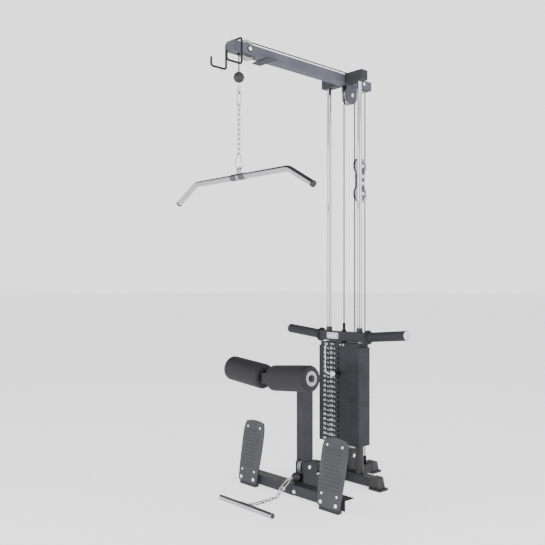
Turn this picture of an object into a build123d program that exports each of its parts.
from build123d import *
import math
import os

# Lat pulldown machine with a low row station, in millimetres.
# X runs from the machine's left to its right, Y from the user to the weight stack, Z up from the floor.
# The origin is on the floor, under the middle of the machine's bounding box.

# Driving dimensions
tube = 50
tube_wall = 3
floor_gap = 10
spine_top = floor_gap + tube
stack_y = 288
rod_x = 106.5
rod_r = 12.5
rod_top = 2112
pitch_r = 43.5
cord_r = 3
cord_bore_r = cord_r + 0.05
pulley_r = 47.5
axle_r = 5

# Frame
spine_front = stack_y - 407
spine_back = stack_y + 240
crossbar_end = 230
foot_length = 80
foot_width = 72
beam_front = stack_y - 410
beam_half = 362
beam_wall = 3
beam_depth = 65
post_front = stack_y - 335
post_depth = 70
post_width = 46
post_top = 630
gusset = 5
boom_half = 26.5
boom_bottom = 2111
boom_top = 2158
boom_wall = 4
boom_front = stack_y - 783
boom_back = stack_y + 194
cap_wall = 4

# Pulley centres, as (y, z)
front_pulley_at = (stack_y - 690, 2136)
hanging_pulley_at = (stack_y + pitch_r, 2061)
tail_pulley_at = (stack_y + 3 * pitch_r, 2136)
float_upper_at = (stack_y + 3 * pitch_r, 1691)
float_lower_at = (stack_y + 3 * pitch_r, 1540)
row_line_z = 87
low_rear_at = (stack_y + pitch_r, row_line_z + pitch_r)
low_front_at = (stack_y - 298, row_line_z + pitch_r)

# Weight stack and carriage
plate_length = 280
plate_depth = 92
plate_height = 25.65
stack_bottom = 205
resting_count = 14
pinned_count = 6
pinned_bottom = stack_bottom + resting_count * plate_height
head_bottom = pinned_bottom + pinned_count * plate_height
head_height = 20
head_length = 256
head_top = head_bottom + head_height
carriage_bottom = head_top + 7
carriage_top = carriage_bottom + tube
carriage_half = 160
horn_r = 25
horn_end_x = 406
horn_base_z = 772
horn_end_z = 794
stem_r = 11.5
pin_r = 6
pin_z = pinned_bottom + plate_height / 2

# Lat line
lat_y = front_pulley_at[0] - pitch_r
ball_r = 25
lat_ball_z = 2001
lat_bar_z = 1542
lat_bar_r = 14
lat_bar_straight = 328
lat_bar_end = 476
lat_bar_drop = 84

# Row line
row_ball_y = stack_y - 364
row_ball_r = 23
row_bar_y = stack_y - 692
row_bar_r = 13.5
row_sleeve = 1.5
row_bar_z = row_bar_r + row_sleeve
row_bar_half = 184

# Knee rollers
roller_y = stack_y - 542
roller_z = 598
roller_r = 61
roller_start = 28
roller_end = 281
roller_tilt = 5
roller_axle_r = 12.5
roller_core_r = 16
roller_disc_r = 34

# Foot plates
foot_plate_x = 284
foot_plate_thick = 6
foot_plate_base_z = 18
foot_plate_tilt = 10.6
foot_plate_front = stack_y - 440.4

os.makedirs("parts", exist_ok=True)


def save(piece, label):
    piece.part.label = label
    export_step(piece.part, f"parts/{label}.step")


def side_plane(x, y=0, z=0):
    """A plane across X, with its local x along +Y and its local y up."""
    return Plane(origin=(x, y, z), x_dir=(0, 1, 0), z_dir=(1, 0, 0))


def axis_plane(point, direction):
    """A plane at a point, square to a direction."""
    return Plane(origin=point, z_dir=direction)


# ---------------------------------------------------------------- base frame

def tube_along_y(y0, y1, half_x, z0, z1, wall):
    """A hollow rectangular tube along Y, open at both ends."""
    with BuildPart() as piece:
        with BuildSketch(Plane(origin=(0, y0, (z0 + z1) / 2), x_dir=(1, 0, 0), z_dir=(0, 1, 0))):
            Rectangle(2 * half_x, z1 - z0)
            Rectangle(2 * half_x - 2 * wall, z1 - z0 - 2 * wall, mode=Mode.SUBTRACT)
        extrude(amount=y1 - y0)
    return piece


base_spine = tube_along_y(spine_front, spine_back, tube / 2, floor_gap, spine_top, tube_wall)
save(base_spine, "base_spine")

with BuildPart() as rear_crossbar:
    for side in (-1, 1):
        with BuildSketch(side_plane(side * tube / 2, stack_y, floor_gap + tube / 2)):
            Rectangle(tube, tube)
            Rectangle(tube - 2 * tube_wall, tube - 2 * tube_wall, mode=Mode.SUBTRACT)
        extrude(amount=side * (crossbar_end - tube / 2))
save(rear_crossbar, "rear_crossbar")


def foot(origin, outward, tube_end):
    """A rubber boot over the end of a tube, with a flange on the floor."""
    upward = Vector(0, 0, 1)
    out = Vector(*outward)
    side_view = Plane(origin=origin, x_dir=out, z_dir=out.cross(upward))
    plan_view = Plane(origin=origin, x_dir=out, z_dir=upward)
    flange_end = tube_end + 40
    body_start = tube_end - 32
    with BuildPart() as piece:
        with BuildSketch(plan_view):
            with Locations((flange_end - foot_length / 2, 0)):
                RectangleRounded(foot_length, foot_width, 9)
        extrude(amount=floor_gap - 0.5)
        with BuildSketch(side_view):
            with BuildLine():
                Polyline(
                    (body_start, 0),
                    (body_start, spine_top + 3),
                    (tube_end + 6, spine_top + 3),
                    (tube_end + 11, spine_top - 2),
                    (tube_end + 24, floor_gap - 1),
                    (tube_end + 24, 0),
                    close=True,
                )
            make_face()
        extrude(amount=tube / 2 + 2, both=True)
        with BuildSketch(side_view):
            with Locations(((body_start + tube_end) / 2, floor_gap + tube / 2)):
                Rectangle(tube_end - body_start, tube)
        extrude(amount=tube / 2, both=True, mode=Mode.SUBTRACT)
    return piece


rear_foot_left = foot((0, stack_y, 0), (-1, 0, 0), crossbar_end)
save(rear_foot_left, "rear_foot_left")
rear_foot_right = foot((0, stack_y, 0), (1, 0, 0), crossbar_end)
save(rear_foot_right, "rear_foot_right")
spine_foot = foot((0, stack_y, 0), (0, 1, 0), spine_back - stack_y)
save(spine_foot, "spine_foot")

# The front beam is an angle section: a front wall and a top flange that rests on the spine.
beam_top = spine_top + beam_wall
beam_bolt_x = 36
beam_bolt_z = 32
with BuildPart() as front_beam:
    with BuildSketch(side_plane(-beam_half)):
        with BuildLine():
            Polyline(
                (beam_front, beam_top - tube),
                (beam_front, beam_top),
                (beam_front + beam_depth, beam_top),
                (beam_front + beam_depth, spine_top),
                (beam_front + beam_wall, spine_top),
                (beam_front + beam_wall, beam_top - tube),
                close=True,
            )
        make_face()
    extrude(amount=2 * beam_half)
    with BuildSketch(Plane(origin=(0, beam_front, beam_bolt_z), x_dir=(1, 0, 0), z_dir=(0, 1, 0))):
        with Locations((-beam_bolt_x, 0), (beam_bolt_x, 0)):
            Circle(axle_r)
    extrude(amount=beam_wall, mode=Mode.SUBTRACT)
save(front_beam, "front_beam")

with BuildPart() as front_beam_bolts:
    for side in (-1, 1):
        bolt_at = (side * beam_bolt_x, beam_front, beam_bolt_z)
        with BuildSketch(axis_plane(bolt_at, (0, -1, 0))):
            Circle(9)
        extrude(amount=2)
        with BuildSketch(axis_plane((bolt_at[0], beam_front - 2, beam_bolt_z), (0, -1, 0))):
            RegularPolygon(7.5, 6)
        extrude(amount=5)
        with BuildSketch(axis_plane(bolt_at, (0, 1, 0))):
            Circle(axle_r)
        extrude(amount=beam_wall + 8)
        with BuildSketch(axis_plane((bolt_at[0], beam_front + beam_wall, beam_bolt_z), (0, 1, 0))):
            RegularPolygon(7.5, 6)
        extrude(amount=6)
save(front_beam_bolts, "front_beam_bolts")

# ---------------------------------------------------------------- foot plates

tilt_out = math.tan(math.radians(foot_plate_tilt))
plate_height_along = 319
foot_bolts = ((47, 19.5, 8.5), (47, 59, 5.5), (47, 282, 5.5))
bolt_hole_r = 3
groove_count = 11
groove_first = 84
groove_pitch = 18
groove_length = 104


def foot_plate_plane(x):
    """The front face of a foot plate: local y climbs the plate, and local z faces the user."""
    lean = math.radians(foot_plate_tilt)
    return Plane(
        origin=(x, foot_plate_front, foot_plate_base_z),
        x_dir=(1, 0, 0),
        z_dir=(0, -math.cos(lean), math.sin(lean)),
    )


def foot_plate(x):
    """A contoured tread plate with raised grip bars between grooves."""
    face = foot_plate_plane(x)
    with BuildPart() as piece:
        with BuildSketch(face):
            with BuildLine():
                Line((-67.5, 0), (67.5, 0))
                Spline((67.5, 0), (75, 83), (79.5, 216), (64.5, 310), tangents=((0.1, 1), (-0.75, 1)))
                ThreePointArc((64.5, 310), (0, plate_height_along), (-64.5, 310))
                Spline((-64.5, 310), (-79.5, 216), (-75, 83), (-67.5, 0), tangents=((-0.75, -1), (0.1, -1)))
            make_face()
            fillet(vertices().group_by(Axis.Y)[0], 14)
        extrude(amount=-foot_plate_thick)
        with BuildSketch(face):
            for row in range(groove_count):
                with Locations((0, groove_first + groove_pitch * row)):
                    SlotOverall(groove_length, 5)
        extrude(amount=-1.5, mode=Mode.SUBTRACT)
        with BuildSketch(face):
            for dx, up, _ in foot_bolts:
                with Locations((-dx, up), (dx, up)):
                    Circle(bolt_hole_r)
        extrude(amount=-foot_plate_thick, mode=Mode.SUBTRACT)
    return piece


def foot_bracket(x):
    """The bracket behind a foot plate, which joins it to the front beam and stands on the floor."""
    back = foot_plate_front + foot_plate_thick / math.cos(math.radians(foot_plate_tilt))
    web = 11
    heel_top = 92
    crown = 296

    def behind(z):
        return back + (z - foot_plate_base_z) * tilt_out

    with BuildPart() as piece:
        with BuildSketch(side_plane(x)):
            with BuildLine():
                Polyline(
                    (behind(0), 0),
                    (behind(crown), crown),
                    (behind(crown) + 5, crown),
                    (behind(heel_top + 40) + web, heel_top + 40),
                    (behind(heel_top) + web + 4, heel_top),
                    (beam_front, beam_top + 6),
                    (beam_front, 0),
                    close=True,
                )
            make_face()
        extrude(amount=60, both=True)
        with BuildSketch(foot_plate_plane(x)):
            for dx, up, _ in foot_bolts:
                with Locations((-dx, up), (dx, up)):
                    Circle(bolt_hole_r)
        extrude(amount=-foot_plate_thick - 6, mode=Mode.SUBTRACT)
    return piece


foot_plate_left = foot_plate(-foot_plate_x)
save(foot_plate_left, "foot_plate_left")
foot_plate_right = foot_plate(foot_plate_x)
save(foot_plate_right, "foot_plate_right")
foot_bracket_left = foot_bracket(-foot_plate_x)
save(foot_bracket_left, "foot_bracket_left")
foot_bracket_right = foot_bracket(foot_plate_x)
save(foot_bracket_right, "foot_bracket_right")

with BuildPart() as foot_plate_bolts:
    for side in (-1, 1):
        for dx, up, head_r in foot_bolts:
            for mirror_side in (-1, 1):
                with BuildSketch(foot_plate_plane(side * foot_plate_x)):
                    with Locations((mirror_side * dx, up)):
                        Circle(head_r)
                extrude(amount=3)
                with BuildSketch(foot_plate_plane(side * foot_plate_x)):
                    with Locations((mirror_side * dx, up)):
                        Circle(bolt_hole_r)
                extrude(amount=-foot_plate_thick - 6)
save(foot_plate_bolts, "foot_plate_bolts")

# ---------------------------------------------------------------- knee post, arm and rollers

slot_half = 12
post_slot_top = 171
with BuildPart() as knee_post:
    with BuildSketch(Plane.XY.offset(spine_top)):
        with Locations((0, post_front + post_depth / 2)):
            Rectangle(post_width, post_depth)
            Rectangle(post_width - 2 * tube_wall, post_depth - 2 * tube_wall, mode=Mode.SUBTRACT)
    extrude(amount=post_top - spine_top - tube_wall)
    with BuildSketch(Plane.XY.offset(post_top - tube_wall)):
        with Locations((0, post_front + post_depth / 2)):
            Rectangle(post_width, post_depth)
    extrude(amount=tube_wall)
    with BuildSketch(Plane(origin=(0, post_front, spine_top), x_dir=(1, 0, 0), z_dir=(0, -1, 0))):
        with Locations((0, (post_slot_top - spine_top) / 2)):
            Rectangle(2 * slot_half, post_slot_top - spine_top)
    extrude(amount=-post_depth, mode=Mode.SUBTRACT)
    with BuildSketch(side_plane(-post_width / 2, *low_front_at)):
        Circle(axle_r)
    extrude(amount=post_width, mode=Mode.SUBTRACT)
save(knee_post, "knee_post")

with BuildPart() as post_gussets:
    for side in (-1, 1):
        with BuildSketch(side_plane(side * post_width / 2)):
            with BuildLine():
                Polyline(
                    (post_front - 2, spine_top),
                    (post_front - 2, 158),
                    (post_front + 72, 158),
                    (post_front + 95, 128),
                    (post_front + 95, spine_top),
                    close=True,
                )
            make_face()
            with Locations(low_front_at):
                Circle(axle_r, mode=Mode.SUBTRACT)
        extrude(amount=side * gusset)
save(post_gussets, "post_gussets")

arm_half = 20
arm_end = roller_y - 34
lean = math.radians(roller_tilt)


def roller_plane(side, along=0.0):
    """A plane square to one roller's axle, at a distance from the middle; its local z points outward."""
    out = (side * math.cos(lean), 0, math.sin(lean))
    point = (out[0] * along, roller_y, roller_z + out[2] * along)
    return Plane(origin=point, x_dir=(0, 1, 0), z_dir=out)


with BuildPart() as knee_arm:
    with BuildSketch(Plane(origin=(0, post_front, roller_z), x_dir=(1, 0, 0), z_dir=(0, -1, 0))):
        RectangleRounded(2 * arm_half, 50, 3)
    extrude(amount=post_front - arm_end)
    for side in (-1, 1):
        with BuildSketch(roller_plane(side)):
            Circle(roller_axle_r)
        extrude(amount=roller_end + 2)
        with BuildSketch(roller_plane(side, roller_end + 0.8)):
            Circle(17)
        extrude(amount=2.5)
        with BuildSketch(roller_plane(side, roller_end + 3.3)):
            RegularPolygon(10, 6)
        extrude(amount=6)
save(knee_arm, "knee_arm")


def roller_foam(side):
    """A foam roller with rounded ends, recessed at each end for a disc."""
    length = roller_end - roller_start
    with BuildPart() as piece:
        with BuildSketch(roller_plane(side, roller_start)):
            Circle(roller_r)
        extrude(amount=length)
        fillet(piece.edges().filter_by(GeomType.CIRCLE), 13)
        with BuildSketch(roller_plane(side, roller_start)):
            Circle(roller_core_r)
        extrude(amount=length, mode=Mode.SUBTRACT)
        with BuildSketch(roller_plane(side, roller_start)):
            Circle(roller_disc_r)
        extrude(amount=3, mode=Mode.SUBTRACT)
        with BuildSketch(roller_plane(side, roller_end - 3)):
            Circle(roller_disc_r)
        extrude(amount=3, mode=Mode.SUBTRACT)
    return piece


def roller_core(side):
    """The sleeve and two end discs that a foam roller turns on."""
    length = roller_end - roller_start
    with BuildPart() as piece:
        with BuildSketch(roller_plane(side, roller_start)):
            Circle(roller_core_r)
        extrude(amount=length)
        for start in (roller_start, roller_end - 3):
            with BuildSketch(roller_plane(side, start)):
                Circle(roller_disc_r)
            extrude(amount=3)
        with BuildSketch(roller_plane(side, roller_start)):
            Circle(roller_axle_r + 0.05)
        extrude(amount=length, mode=Mode.SUBTRACT)
    return piece


for side, word in ((-1, "left"), (1, "right")):
    save(roller_foam(side), f"roller_foam_{word}")
    save(roller_core(side), f"roller_core_{word}")

# ---------------------------------------------------------------- uprights, boom and brackets

for side, word in ((-1, "left"), (1, "right")):
    with BuildPart() as guide_rod:
        with BuildSketch(Plane.XY.offset(spine_top)):
            with Locations((side * rod_x, stack_y)):
                Circle(rod_r)
        extrude(amount=rod_top - spine_top)
    save(guide_rod, f"guide_rod_{word}")

with BuildPart() as stack_bumpers:
    with BuildSketch(Plane.XY.offset(spine_top)):
        with Locations((-rod_x, stack_y), (rod_x, stack_y)):
            Circle(21.5)
            Circle(rod_r, mode=Mode.SUBTRACT)
    extrude(amount=stack_bottom - spine_top)
save(stack_bumpers, "stack_bumpers")

with BuildPart() as top_crossbar:
    for side in (-1, 1):
        with BuildSketch(side_plane(side * boom_half, stack_y, rod_top + tube / 2)):
            Rectangle(tube, tube)
        extrude(amount=side * (plate_length / 2 - boom_half))
save(top_crossbar, "top_crossbar")

pulley_slot = 2 * pulley_r + 9
with BuildPart() as boom:
    boom_middle = (boom_bottom + boom_top) / 2
    with BuildSketch(Plane(origin=(0, boom_front, boom_middle), x_dir=(1, 0, 0), z_dir=(0, 1, 0))):
        Rectangle(2 * boom_half, boom_top - boom_bottom)
        Rectangle(2 * (boom_half - boom_wall), boom_top - boom_bottom - 2 * boom_wall, mode=Mode.SUBTRACT)
    extrude(amount=boom_back - boom_front)
    with BuildSketch(Plane.XY.offset(boom_bottom)):
        with Locations((0, front_pulley_at[0]), (0, tail_pulley_at[0])):
            SlotOverall(pulley_slot, 2 * slot_half, rotation=90)
    extrude(amount=boom_top - boom_bottom, mode=Mode.SUBTRACT)
    with BuildSketch(side_plane(-boom_half)):
        with Locations(front_pulley_at, tail_pulley_at):
            Circle(axle_r)
    extrude(amount=2 * boom_half, mode=Mode.SUBTRACT)
save(boom, "boom")

with BuildPart() as boom_end_caps:
    with BuildSketch(Plane(origin=(0, boom_front, boom_middle), x_dir=(1, 0, 0), z_dir=(0, -1, 0))):
        RectangleRounded(2 * boom_half, boom_top - boom_bottom, 2)
    extrude(amount=cap_wall)
    with BuildSketch(Plane(origin=(0, boom_back, boom_middle), x_dir=(1, 0, 0), z_dir=(0, 1, 0))):
        RectangleRounded(2 * boom_half, boom_top - boom_bottom, 2)
    extrude(amount=cap_wall)
save(boom_end_caps, "boom_end_caps")

# The bar hook: one bent rod over the boom, with a J at each side to park the lat bar in.
hook_r = 5
hook_x = 56
hook_y = stack_y - 764
hook_front = hook_y - 87
hook_low = 2044
hook_tip = 2085
hook_high = boom_top + hook_r
with BuildPart() as bar_hook:
    with BuildLine() as hook_path:
        FilletPolyline(
            (-hook_x, hook_front, hook_tip),
            (-hook_x, hook_front, hook_low),
            (-hook_x, hook_y, hook_low),
            (-hook_x, hook_y, hook_high),
            (hook_x, hook_y, hook_high),
            (hook_x, hook_y, hook_low),
            (hook_x, hook_front, hook_low),
            (hook_x, hook_front, hook_tip),
            radius=12,
        )
    with BuildSketch(axis_plane((-hook_x, hook_front, hook_tip), (0, 0, -1))):
        Circle(hook_r)
    sweep()
save(bar_hook, "bar_hook")

with BuildPart() as boom_cross_plate:
    with BuildSketch(Plane.XY.offset(boom_bottom - 4)):
        with Locations((0, stack_y - 575)):
            RectangleRounded(120, 54, 4)
    extrude(amount=4)
save(boom_cross_plate, "boom_cross_plate")

hanger_inner = 14
hanger_wall = 4
with BuildPart() as hanger_bracket:
    for side in (-1, 1):
        with BuildSketch(side_plane(side * hanger_inner)):
            with BuildLine():
                low_y, low_z = hanging_pulley_at[0], 2054
                Polyline(
                    (low_y - 41, low_z),
                    (low_y - 41, boom_bottom),
                    (low_y + 41, boom_bottom),
                    (low_y + 41, low_z),
                )
                ThreePointArc((low_y - 41, low_z), (low_y, low_z - 41), (low_y + 41, low_z))
            make_face()
            with Locations(hanging_pulley_at):
                Circle(axle_r, mode=Mode.SUBTRACT)
        extrude(amount=side * hanger_wall)
save(hanger_bracket, "hanger_bracket")

low_inner = tube / 2
low_wall = 4
low_bolt_z = 48
low_back_z = 152
with BuildPart() as low_pulley_bracket:
    for side in (-1, 1):
        with BuildSketch(side_plane(side * low_inner)):
            with BuildLine():
                rear_y = low_rear_at[0]
                Polyline(
                    (rear_y - 44, low_back_z),
                    (rear_y - 44, spine_top + 4),
                    (rear_y - 17, spine_top + 4),
                    (rear_y - 17, 30),
                    (rear_y + 17, 30),
                    (rear_y + 17, spine_top + 4),
                    (rear_y + 44, spine_top + 4),
                    (rear_y + 44, low_back_z),
                )
                ThreePointArc((rear_y - 44, low_back_z), (rear_y, low_back_z + 16), (rear_y + 44, low_back_z))
            make_face()
            with Locations(low_rear_at):
                Circle(axle_r, mode=Mode.SUBTRACT)
        extrude(amount=side * low_wall)
        with BuildSketch(side_plane(side * (low_inner + low_wall), rear_y, low_bolt_z)):
            RegularPolygon(8, 6)
        extrude(amount=side * 5)
save(low_pulley_bracket, "low_pulley_bracket")

anchor_y = stack_y + 4 * pitch_r
anchor_top = 100
anchor_cord_z = 82
with BuildPart() as cable_anchor:
    with BuildSketch(Plane.XY.offset(spine_top)):
        with Locations((0, anchor_y)):
            RectangleRounded(34, 34, 4)
    extrude(amount=5)
    with BuildSketch(Plane.XY.offset(spine_top + 5)):
        with Locations((0, anchor_y)):
            Circle(9)
    extrude(amount=anchor_top - spine_top - 5)
    with BuildSketch(Plane.XY.offset(anchor_cord_z)):
        with Locations((0, anchor_y)):
            Circle(cord_bore_r)
    extrude(amount=anchor_top - anchor_cord_z, mode=Mode.SUBTRACT)
save(cable_anchor, "cable_anchor")

# ---------------------------------------------------------------- pulleys and their bolts

hub_half = 11
groove_r = cord_r + 0.3
groove_half = 5.5
rim_half = 9.5


def pulley(at):
    """A grooved pulley about X: hub, thin web, and a rim whose groove holds the cord at the pitch radius."""
    y, z = at
    with BuildPart() as piece:
        with BuildSketch(Plane(origin=(0, y, z), x_dir=(1, 0, 0), z_dir=(0, -1, 0))):
            with BuildLine():
                Polyline(
                    (groove_r, pitch_r),
                    (groove_half, pulley_r),
                    (rim_half - 1, pulley_r),
                    (rim_half, pulley_r - 1),
                    (rim_half, 34),
                    (5, 31),
                    (5, 16),
                    (hub_half, 13),
                    (hub_half, axle_r + 0.05),
                    (-hub_half, axle_r + 0.05),
                    (-hub_half, 13),
                    (-5, 16),
                    (-5, 31),
                    (-rim_half, 34),
                    (-rim_half, pulley_r - 1),
                    (1 - rim_half, pulley_r),
                    (-groove_half, pulley_r),
                    (-groove_r, pitch_r),
                )
                ThreePointArc((-groove_r, pitch_r), (0, pitch_r - groove_r), (groove_r, pitch_r))
            make_face()
        revolve(axis=Axis((0, y, z), (1, 0, 0)))
    return piece


pulleys = {
    "front_pulley": front_pulley_at,
    "tail_pulley": tail_pulley_at,
    "hanging_pulley": hanging_pulley_at,
    "low_rear_pulley": low_rear_at,
    "low_front_pulley": low_front_at,
    "float_upper_pulley": float_upper_at,
    "float_lower_pulley": float_lower_at,
}
for name, at in pulleys.items():
    save(pulley(at), name)


def axle_bolt(at, wall_inner, wall_outer):
    """An axle bolt: shank, a spacer at each side of the pulley's hub, head and nut."""
    y, z = at
    with BuildPart() as bolt:
        with BuildSketch(side_plane(-wall_outer, y, z)):
            Circle(axle_r)
        extrude(amount=2 * wall_outer)
        for side in (-1, 1):
            if wall_inner > hub_half + 4:
                with BuildSketch(side_plane(side * (hub_half + 0.4), y, z)):
                    Circle(8)
                extrude(amount=side * (wall_inner - hub_half - 0.4))
            with BuildSketch(side_plane(side * wall_outer, y, z)):
                RegularPolygon(10, 6)
            extrude(amount=side * 5)
    return bolt.part


fixed_bolts = (
    axle_bolt(front_pulley_at, boom_half - boom_wall, boom_half),
    axle_bolt(tail_pulley_at, boom_half - boom_wall, boom_half),
    axle_bolt(hanging_pulley_at, hanger_inner, hanger_inner + hanger_wall),
    axle_bolt(low_rear_at, low_inner, low_inner + low_wall),
    axle_bolt(low_front_at, post_width / 2 - tube_wall, post_width / 2 + gusset),
)
with BuildPart() as pulley_axle_bolts:
    for bolt in fixed_bolts:
        add(bolt)
save(pulley_axle_bolts, "pulley_axle_bolts")

# The floating pulley block: two straps with a pulley at each end and two tie bolts between.
strap_half = 20
tie_z = (1634, 1597)
float_y = float_upper_at[0]
strap_middle = (float_upper_at[1] + float_lower_at[1]) / 2
with BuildPart() as float_plates:
    for side in (-1, 1):
        with BuildSketch(side_plane(side * hanger_inner, float_y, strap_middle)):
            SlotCenterToCenter(float_upper_at[1] - float_lower_at[1], 2 * strap_half, rotation=90)
        extrude(amount=side * hanger_wall)
        with BuildSketch(side_plane(side * hanger_inner)):
            with Locations(float_upper_at, float_lower_at, (float_y, tie_z[0]), (float_y, tie_z[1])):
                Circle(axle_r)
        extrude(amount=side * hanger_wall, mode=Mode.SUBTRACT)
save(float_plates, "float_plates")

moving_bolts = (
    axle_bolt(float_upper_at, hanger_inner, hanger_inner + hanger_wall),
    axle_bolt(float_lower_at, hanger_inner, hanger_inner + hanger_wall),
    axle_bolt((float_y, tie_z[0]), 0, hanger_inner + hanger_wall),
    axle_bolt((float_y, tie_z[1]), 0, hanger_inner + hanger_wall),
)
with BuildPart() as float_bolts:
    for bolt in moving_bolts:
        add(bolt)
save(float_bolts, "float_bolts")

# ---------------------------------------------------------------- weight stack and carriage


def plates(bottom, count):
    """A pile of plates, each bored for the guide rods, the stem and the selector pin."""
    with BuildPart() as pile:
        for number in range(count):
            low = bottom + number * plate_height
            with BuildSketch(Plane.XY.offset(low)):
                with Locations((0, stack_y)):
                    RectangleRounded(plate_length, plate_depth, 4)
                    Circle(stem_r + 0.5, mode=Mode.SUBTRACT)
                with Locations((-rod_x, stack_y), (rod_x, stack_y)):
                    Circle(rod_r + 0.5, mode=Mode.SUBTRACT)
            extrude(amount=plate_height - 0.4)
            hole_at = (0, stack_y - plate_depth / 2, low + plate_height / 2)
            with BuildSketch(axis_plane(hole_at, (0, 1, 0))):
                Circle(pin_r + 0.05)
            extrude(amount=plate_depth / 2, mode=Mode.SUBTRACT)
    return pile


resting_plates = plates(stack_bottom, resting_count)
save(resting_plates, "resting_plates")
pinned_plates = plates(pinned_bottom, pinned_count)
save(pinned_plates, "pinned_plates")

with BuildPart() as stack_head:
    with BuildSketch(Plane.XY.offset(head_bottom)):
        with Locations((0, stack_y)):
            RectangleRounded(head_length, plate_depth, 4)
        with Locations((-rod_x, stack_y), (rod_x, stack_y)):
            Circle(rod_r + 0.5, mode=Mode.SUBTRACT)
    extrude(amount=head_height)
    with BuildSketch(Plane.XY.offset(stack_bottom + 5)):
        with Locations((0, stack_y)):
            Circle(stem_r)
    extrude(amount=head_bottom - stack_bottom - 5)
    with BuildSketch(Plane.XY.offset(head_top)):
        with Locations((0, stack_y)):
            RegularPolygon(17, 6)
    extrude(amount=carriage_bottom - head_top)
    for number in range(resting_count + pinned_count):
        hole_at = (0, stack_y - stem_r, stack_bottom + (number + 0.5) * plate_height)
        with BuildSketch(axis_plane(hole_at, (0, 1, 0))):
            Circle(pin_r + 0.05)
        extrude(amount=2 * stem_r, mode=Mode.SUBTRACT)
save(stack_head, "stack_head")

knob_y = stack_y - 90
knob_r = 12.5
pin_tip = stack_y + stem_r - 1.5
with BuildPart() as selector_pin:
    with BuildSketch(axis_plane((0, pin_tip, pin_z), (0, -1, 0))):
        Circle(pin_r)
    extrude(amount=pin_tip - knob_y)
    with BuildSketch(axis_plane((0, stack_y - plate_depth / 2 - 1, pin_z), (0, -1, 0))):
        Circle(14)
    extrude(amount=14)
    with Locations((0, knob_y, pin_z)):
        Sphere(knob_r)
save(selector_pin, "selector_pin")

with BuildPart() as carriage_beam:
    with BuildSketch(side_plane(-carriage_half, stack_y, carriage_bottom + tube / 2)):
        RectangleRounded(tube, tube, 3)
    extrude(amount=2 * carriage_half)
    with BuildSketch(Plane.XY.offset(carriage_bottom)):
        with Locations((-rod_x, stack_y), (rod_x, stack_y)):
            Circle(rod_r + 0.5)
    extrude(amount=tube, mode=Mode.SUBTRACT)
    with BuildSketch(Plane.XY.offset(carriage_top - 20)):
        with Locations((0, stack_y)):
            Circle(6)
    extrude(amount=20, mode=Mode.SUBTRACT)
save(carriage_beam, "carriage_beam")

flange_r = 37.5
flange_thick = 8
horn_rise = (horn_end_z - horn_base_z) / (horn_end_x - carriage_half)
horn_angle = math.atan(horn_rise)
horn_length = (horn_end_x - carriage_half) / math.cos(horn_angle)
with BuildPart() as plate_horns:
    for side in (-1, 1):
        out = (side * math.cos(horn_angle), 0, math.sin(horn_angle))
        with BuildSketch(axis_plane((side * carriage_half, stack_y, horn_base_z), out)):
            Circle(horn_r)
        extrude(amount=horn_length)
        flange_at = (side * carriage_half - 6 * out[0], stack_y, horn_base_z - 6 * out[2])
        with BuildSketch(axis_plane(flange_at, out)):
            Circle(flange_r)
        extrude(amount=6 + flange_thick)
        with BuildSketch(side_plane(side * carriage_half, stack_y, horn_base_z)):
            Rectangle(2 * flange_r, 2 * flange_r)
        extrude(amount=-side * 12, mode=Mode.SUBTRACT)
save(plate_horns, "plate_horns")

with BuildPart() as carriage_bushings:
    for side in (-1, 1):
        with BuildSketch(Plane.XY.offset(carriage_top)):
            with Locations((side * rod_x, stack_y)):
                Circle(17.5)
        extrude(amount=6)
        with BuildSketch(Plane.XY.offset(carriage_top + 6)):
            with Locations((side * rod_x, stack_y)):
                Circle(17.5)
        extrude(amount=17, taper=8)
        with BuildSketch(Plane.XY.offset(carriage_top)):
            with Locations((side * rod_x, stack_y)):
                Circle(rod_r + 0.1)
        extrude(amount=23, mode=Mode.SUBTRACT)
save(carriage_bushings, "carriage_bushings")

eyebolt_top = carriage_top + 45
stack_cord_end = eyebolt_top - 18
with BuildPart() as carriage_eyebolt:
    with BuildSketch(Plane.XY.offset(carriage_top - 20)):
        with Locations((0, stack_y)):
            Circle(6)
    extrude(amount=20)
    with BuildSketch(Plane.XY.offset(carriage_top)):
        with Locations((0, stack_y)):
            RegularPolygon(13, 6)
    extrude(amount=10)
    with BuildSketch(Plane.XY.offset(carriage_top + 10)):
        with Locations((0, stack_y)):
            Circle(8)
    extrude(amount=eyebolt_top - carriage_top - 10)
    with BuildSketch(Plane.XY.offset(stack_cord_end)):
        with Locations((0, stack_y)):
            Circle(cord_bore_r)
    extrude(amount=eyebolt_top - stack_cord_end, mode=Mode.SUBTRACT)
save(carriage_eyebolt, "carriage_eyebolt")

# ---------------------------------------------------------------- cables

lat_cord_end = lat_ball_z + 6
lat_cord_top = front_pulley_at[1] + pitch_r
strand_front = stack_y + 2 * pitch_r
strand_back = stack_y + 4 * pitch_r
arc = pitch_r * math.sqrt(0.5)


def cable(label, pieces):
    """Sweeps the cord's round section along joined straight runs and arcs, given as (y, z) points."""
    with BuildPart() as cord:
        with BuildLine(Plane.YZ) as route:
            for points in pieces:
                if len(points) == 2:
                    Line(*points)
                else:
                    ThreePointArc(*points)
        start = route.line @ 0
        with BuildSketch(Plane(origin=start, z_dir=route.line % 0)):
            Circle(cord_r)
        sweep()
    save(cord, label)


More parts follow.
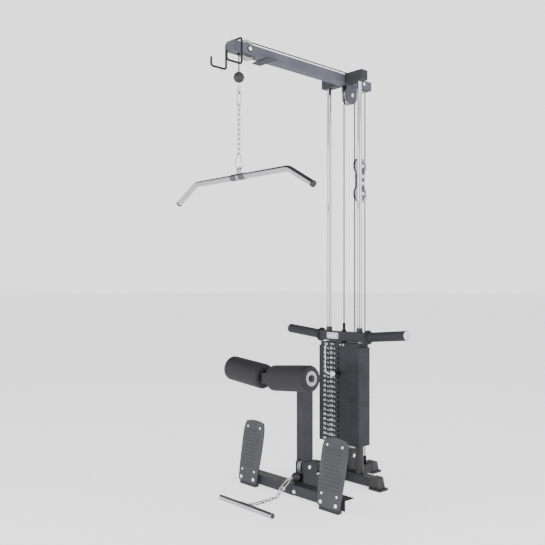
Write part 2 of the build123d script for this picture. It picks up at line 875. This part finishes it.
cable(
    "lat_cable_front",
    (
        ((lat_y, lat_cord_end), (lat_y, front_pulley_at[1])),
        (
            (lat_y, front_pulley_at[1]),
            (front_pulley_at[0] - arc, front_pulley_at[1] + arc),
            (front_pulley_at[0], lat_cord_top),
        ),
        ((front_pulley_at[0], lat_cord_top), (tail_pulley_at[0], lat_cord_top)),
        (
            (tail_pulley_at[0], lat_cord_top),
            (tail_pulley_at[0] + arc, tail_pulley_at[1] + arc),
            (strand_back, tail_pulley_at[1]),
        ),
    ),
)
cable(
    "lat_cable_loop",
    (
        ((strand_back, tail_pulley_at[1]), (strand_back, float_upper_at[1])),
        (
            (strand_back, float_upper_at[1]),
            (float_upper_at[0], float_upper_at[1] - pitch_r),
            (strand_front, float_upper_at[1]),
        ),
        ((strand_front, float_upper_at[1]), (strand_front, hanging_pulley_at[1])),
    ),
)
cable(
    "lat_cable_stack",
    (
        (
            (strand_front, hanging_pulley_at[1]),
            (hanging_pulley_at[0], hanging_pulley_at[1] + pitch_r),
            (stack_y, hanging_pulley_at[1]),
        ),
        ((stack_y, hanging_pulley_at[1]), (stack_y, stack_cord_end)),
    ),
)
cable(
    "row_cable_loop",
    (
        ((strand_back, anchor_cord_z), (strand_back, float_lower_at[1])),
        (
            (strand_back, float_lower_at[1]),
            (float_lower_at[0], float_lower_at[1] + pitch_r),
            (strand_front, float_lower_at[1]),
        ),
        ((strand_front, float_lower_at[1]), (strand_front, low_rear_at[1])),
    ),
)
row_cord_end = row_ball_y + 6
cable(
    "row_cable_front",
    (
        (
            (strand_front, low_rear_at[1]),
            (low_rear_at[0] + arc, low_rear_at[1] - arc),
            (low_rear_at[0], row_line_z),
        ),
        ((low_rear_at[0], row_line_z), (row_cord_end, row_line_z)),
    ),
)

# The lanyard is a limp cord from the stack head to the selector pin's knob.
lanyard_r = 2.5
lanyard_x = -78
lanyard_y = stack_y - plate_depth / 2 - 7.5
lanyard_route = (
    (lanyard_x, lanyard_y + 6.3, 729),
    (lanyard_x, lanyard_y - 8, 724),
    (lanyard_x - 1, lanyard_y - 11, 692),
    (lanyard_x + 1, lanyard_y - 8, 648),
    (lanyard_x, lanyard_y - 10, 612),
    (lanyard_x + 9, lanyard_y - 16, 582),
    (lanyard_x + 32, lanyard_y - 28, 572),
    (lanyard_x + 52, lanyard_y - 35, pin_z - 1),
    (-knob_r + 0.5, knob_y, pin_z),
)


def route_radii(points):
    """The largest fillet radius at each corner that the runs on both sides allow."""
    radii = []
    for before, corner, after in zip(points, points[1:], points[2:]):
        arriving = Vector(*corner) - Vector(*before)
        leaving = Vector(*after) - Vector(*corner)
        turn = math.radians(arriving.get_angle(leaving))
        radii.append(0.45 * min(arriving.length, leaving.length) / math.tan(turn / 2))
    return radii


lanyard_radii = route_radii(lanyard_route)
with BuildPart() as pin_lanyard:
    with BuildLine() as lanyard_line:
        FilletPolyline(*lanyard_route, radius=lanyard_radii)
    with BuildSketch(Plane(origin=lanyard_line.line @ 0, z_dir=lanyard_line.line % 0)):
        Circle(lanyard_r)
    sweep()
    with Locations((0, knob_y, pin_z)):
        Sphere(knob_r + 0.1, mode=Mode.SUBTRACT)
save(pin_lanyard, "pin_lanyard")
print("lanyard bend radii, smallest first:", [round(r, 1) for r in sorted(lanyard_radii)])
print("lanyard length:", round(sum(edge.length for edge in lanyard_line.edges()), 1))

# ---------------------------------------------------------------- chain hardware


def ring(centre, along, normal, length, near_r, far_r, rod):
    """A closed link: two round ends joined by straight legs.

    The link is length long from outside to outside, its ends have the centreline radii near_r and far_r,
    along points from the near end to the far one, and normal is square to the link.
    """
    view = Plane(origin=centre, x_dir=along, z_dir=normal)
    near = near_r + rod - length / 2
    far = length / 2 - far_r - rod
    slope = math.asin((far_r - near_r) / (far - near))
    dx, dy = math.sin(slope), math.cos(slope)
    with BuildPart() as link:
        with BuildLine(view) as loop:
            Line((near - near_r * dx, near_r * dy), (far - far_r * dx, far_r * dy))
            ThreePointArc((far - far_r * dx, far_r * dy), (far + far_r, 0), (far - far_r * dx, -far_r * dy))
            Line((far - far_r * dx, -far_r * dy), (near - near_r * dx, -near_r * dy))
            ThreePointArc(
                (near - near_r * dx, -near_r * dy),
                (near - near_r, 0),
                (near - near_r * dx, near_r * dy),
            )
        with BuildSketch(Plane(origin=loop.line @ 0, z_dir=loop.line % 0)):
            Circle(rod)
        sweep()
    return link.part


chain_rod = 2.5
chain_bend = 6.9
chain_pitch = 22.6
chain_play = 0.4
chain_length = chain_pitch + 4 * chain_rod + chain_play


def stop_ball(centre, along, radius, label):
    """A rubber stop ball with a seam, bored for the cord on one side."""
    with BuildPart() as ball:
        with Locations(centre):
            Sphere(radius)
        with BuildSketch(axis_plane(tuple(Vector(*centre) - Vector(*along) * 0.8), along)):
            Circle(radius + 0.8)
        extrude(amount=1.6)
        with BuildSketch(axis_plane(tuple(Vector(*centre) + Vector(*along) * 6), along)):
            Circle(cord_bore_r)
        extrude(amount=radius, mode=Mode.SUBTRACT)
    save(ball, label)


stop_ball((0, lat_y, lat_ball_z), (0, 0, 1), ball_r, "lat_stop_ball")

# Below the lat ball: cord end, ferrule, carabiner, chain and snap hook.
lat_ferrule_top = 1960
lat_ferrule_low = 1938
snap_low = 1574
snap_high = 1655
snap_rod = 3.5
lat_links = 10
first_link = 1862.7
snap_middle = (snap_low + snap_high) / 2
lat_rings = [
    ring((0, lat_y, lat_ferrule_low - 5.2), (0, 0, -1), (1, 0, 0), 20, 7, 7, chain_rod),
    ring((0, lat_y, 1901), (0, 0, -1), (0, 1, 0), 68, 12, 12, snap_rod),
    ring((0, lat_y, snap_middle), (0, 0, -1), (1, 0, 0), snap_high - snap_low, 9, 21, snap_rod),
]
for number in range(lat_links):
    across = (1, 0, 0) if number % 2 == 0 else (0, 1, 0)
    link_z = first_link - number * chain_pitch
    lat_rings.append(
        ring((0, lat_y, link_z), (0, 0, -1), across, chain_length, chain_bend, chain_bend, chain_rod)
    )
with BuildPart() as lat_chain:
    with BuildSketch(Plane.XY.offset(lat_ferrule_top)):
        with Locations((0, lat_y)):
            Circle(cord_r)
    extrude(amount=lat_ball_z - ball_r - lat_ferrule_top)
    with BuildSketch(Plane.XY.offset(lat_ferrule_low)):
        with Locations((0, lat_y)):
            Circle(6.5)
    extrude(amount=lat_ferrule_top - lat_ferrule_low)
    for link in lat_rings:
        add(link)
save(lat_chain, "lat_chain")

# The lat bar and, around its middle, a sleeve with the lug that hangs in the snap hook.
lug_hole_r = 8
lug_hole_z = snap_low + snap_rod - 3.2
sleeve_half = 49
with BuildPart() as lat_bar:
    with BuildLine() as bar_path:
        FilletPolyline(
            (-lat_bar_end, lat_y, lat_bar_z - lat_bar_drop),
            (-lat_bar_straight, lat_y, lat_bar_z),
            (lat_bar_straight, lat_y, lat_bar_z),
            (lat_bar_end, lat_y, lat_bar_z - lat_bar_drop),
            radius=70,
        )
    with BuildSketch(Plane(origin=bar_path.line @ 0, z_dir=bar_path.line % 0)):
        Circle(lat_bar_r)
    sweep()
    with BuildSketch(side_plane(-sleeve_half, lat_y, lat_bar_z)):
        Circle(lat_bar_r + 1.5)
    extrude(amount=2 * sleeve_half)
    with BuildSketch(Plane(origin=(0, lat_y, 0), x_dir=(1, 0, 0), z_dir=(0, -1, 0))):
        with Locations((0, lug_hole_z)):
            Circle(14)
        with Locations((0, (lat_bar_z + lug_hole_z) / 2)):
            Rectangle(22, lug_hole_z - lat_bar_z)
        with Locations((0, lug_hole_z)):
            Circle(lug_hole_r, mode=Mode.SUBTRACT)
    extrude(amount=4, both=True)
save(lat_bar, "lat_bar")

# ---------------------------------------------------------------- row line

stop_ball((0, row_ball_y, row_line_z), (0, 1, 0), row_ball_r, "row_stop_ball")

# From the row ball's snap link to the handle's, as (distance in front of the stack, height): the joints
# between chain links, a pitch apart.
row_lug_z = 12
chain_rest_z = 11.5
row_joints = (
    (-467.3, 44.1),
    (-478.0, 24.2),
    (-497.6, 13.0),
    (-520.1, chain_rest_z),
    (-542.7, chain_rest_z),
    (-565.3, chain_rest_z),
    (-587.9, chain_rest_z),
)
cord_tail = row_ball_y - row_ball_r
snap_from = (stack_y - 405.5, row_line_z + 1)
snap_to = (stack_y - 473, 40)
rise = Vector(0, snap_to[0] - snap_from[0], snap_to[1] - snap_from[1])
row_rings = [
    ring((0, stack_y - 404.5, row_line_z), (0, -1, 0), (0, 0, 1), 26, 7, 7, chain_rod),
    ring(
        (0, (snap_from[0] + snap_to[0]) / 2, (snap_from[1] + snap_to[1]) / 2),
        tuple(rise.normalized()),
        (1, 0, 0),
        rise.length,
        9,
        12,
        snap_rod,
    ),
    ring((0, stack_y - 621.9, chain_rest_z), (0, -1, 0), (0, 0, 1), 82.6, 12, 12, snap_rod),
]
for number, (start, end) in enumerate(zip(row_joints, row_joints[1:])):
    reach = Vector(0, end[0] - start[0], end[1] - start[1])
    flat = (1, 0, 0) if number % 2 else tuple(Vector(1, 0, 0).cross(reach).normalized())
    row_rings.append(
        ring(
            (0, stack_y + (start[0] + end[0]) / 2, (start[1] + end[1]) / 2),
            tuple(reach.normalized()),
            flat,
            reach.length + 4 * chain_rod + 2 * chain_play,
            chain_bend,
            chain_bend,
            chain_rod,
        )
    )
with BuildPart() as row_chain:
    with BuildSketch(axis_plane((0, cord_tail, row_line_z), (0, -1, 0))):
        Circle(cord_r)
    extrude(amount=4)
    with BuildSketch(axis_plane((0, cord_tail - 1, row_line_z), (0, -1, 0))):
        Circle(6.5)
    extrude(amount=6)
    for link in row_rings:
        add(link)
save(row_chain, "row_chain")

with BuildPart() as row_handle:
    with BuildSketch(side_plane(-row_bar_half, row_bar_y, row_bar_z)):
        Circle(row_bar_r)
    extrude(amount=2 * row_bar_half)
    with BuildSketch(side_plane(-42, row_bar_y, row_bar_z)):
        Circle(row_bar_r + row_sleeve)
    extrude(amount=84)
    with BuildSketch(side_plane(0)):
        with Locations((row_bar_y + 30, row_lug_z)):
            Circle(11.5)
        with Locations((row_bar_y + 14, row_lug_z)):
            Rectangle(28, 20)
        with Locations((row_bar_y + 30, row_lug_z)):
            Circle(8.2, mode=Mode.SUBTRACT)
    extrude(amount=4, both=True)
save(row_handle, "row_handle")
